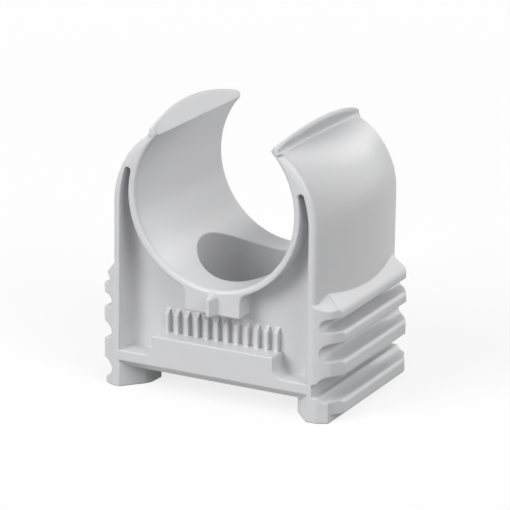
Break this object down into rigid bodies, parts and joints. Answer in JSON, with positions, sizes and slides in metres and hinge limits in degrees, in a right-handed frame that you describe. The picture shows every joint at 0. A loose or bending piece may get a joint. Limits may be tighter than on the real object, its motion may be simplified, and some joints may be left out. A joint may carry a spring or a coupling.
{
  "type": "pipe clip",
  "caption": "Open snap-in clip that holds a conduit or pipe on a wall; a screw goes down through its floor, and toothed side rails slide into a neighbouring clip.",
  "frame": {"origin": "axis of the screw hole, in the plane of the wall that the clip is mounted on", "axes": "+X across the pipe towards the toothed rail, +Y along the pipe away from the scale, +Z away from the wall towards the mouth"},
  "size_m": [0.0242, 0.0179, 0.0261],
  "materials": {
    "light_grey_plastic": "satin moulded plastic"
  },
  "bodies": {
    "root": {"clip_body": "light_grey_plastic"}
  },
  "joints": []
}
